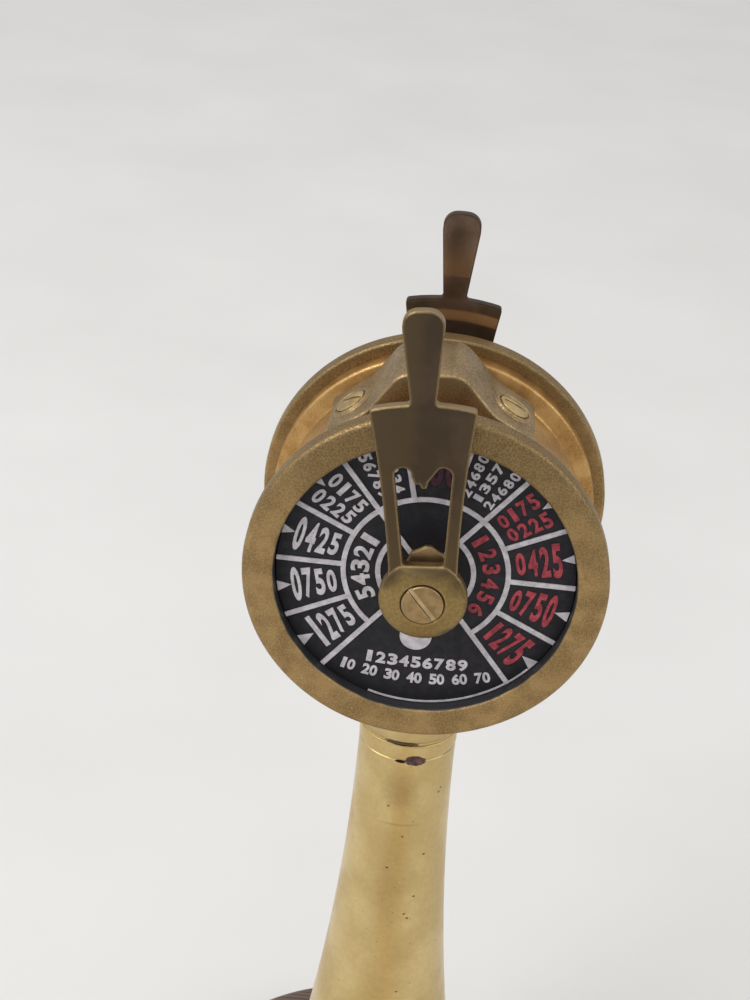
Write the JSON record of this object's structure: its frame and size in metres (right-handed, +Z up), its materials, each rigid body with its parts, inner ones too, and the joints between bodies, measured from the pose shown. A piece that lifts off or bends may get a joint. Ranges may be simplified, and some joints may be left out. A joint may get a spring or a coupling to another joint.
{
  "type": "ship engine telegraph",
  "caption": "Desk-size two-faced ship engine telegraph: brass head with numbered dials and turning levers on a tapered brass column and round wooden base.",
  "frame": {"origin": "middle of the underside of the base, where it rests", "axes": "+Z up along the column; the front dial faces -Y and the rear dial +Y; +X to the right seen from the front"},
  "size_m": [0.091, 0.091, 0.2322],
  "materials": {
    "felt": "dense matte felt",
    "dark_wood": "dark stained, thin satin varnish",
    "turned_brass": "turned and polished, with small casting pits",
    "cast_brass": "sand-cast, matte and slightly tarnished",
    "lever_brass": "flat polished faces with dull worn edges",
    "screw_brass": "turned head with a sawn slot",
    "dial_enamel": "black enamel with raised silvered lines and figures, red on one side",
    "steel": "plain zinc-plated"
  },
  "bodies": {
    "root": {"base_felt": "felt", "base_plate": "dark_wood", "column": "turned_brass", "neck_ring": "turned_brass", "tie_rod": "steel", "tie_rod_nut": "steel", "tie_rod_washer": "steel", "head_drum": "cast_brass", "hood": "cast_brass", "hood_screws": "screw_brass", "centre_post": "turned_brass", "front_bezel": "cast_brass", "front_dial": "dial_enamel", "front_pivot_screw": "screw_brass", "front_friction_washer": "steel", "rear_bezel": "cast_brass", "rear_dial": "dial_enamel", "rear_pivot_screw": "screw_brass", "rear_friction_washer": "steel"},
    "front_lever": {"front_lever": "lever_brass"},
    "rear_lever": {"rear_lever": "lever_brass"},
    "front_reply_pointer": {"front_reply_pointer": "lever_brass"},
    "rear_reply_pointer": {"rear_reply_pointer": "lever_brass"}
  },
  "joints": [
    {"name": "front_lever_turn", "type": "hinge", "parent": "root", "child": "front_lever", "pos_m": [0, -0.026, 0.1725], "axis": [0, 1, 0], "range_deg": [-124.8, 135.2]},
    {"name": "rear_lever_turn", "type": "hinge", "parent": "root", "child": "rear_lever", "pos_m": [0, 0.026, 0.1725], "axis": [0, -1, 0], "range_deg": [-130, 130]},
    {"name": "front_pointer_turn", "type": "hinge", "parent": "root", "child": "front_reply_pointer", "pos_m": [0, -0.0232, 0.1725], "axis": [0, 1, 0], "range_deg": [-130, 130]},
    {"name": "rear_pointer_turn", "type": "hinge", "parent": "root", "child": "rear_reply_pointer", "pos_m": [0, 0.0232, 0.1725], "axis": [0, -1, 0], "range_deg": [-130, 130]}
  ]
}
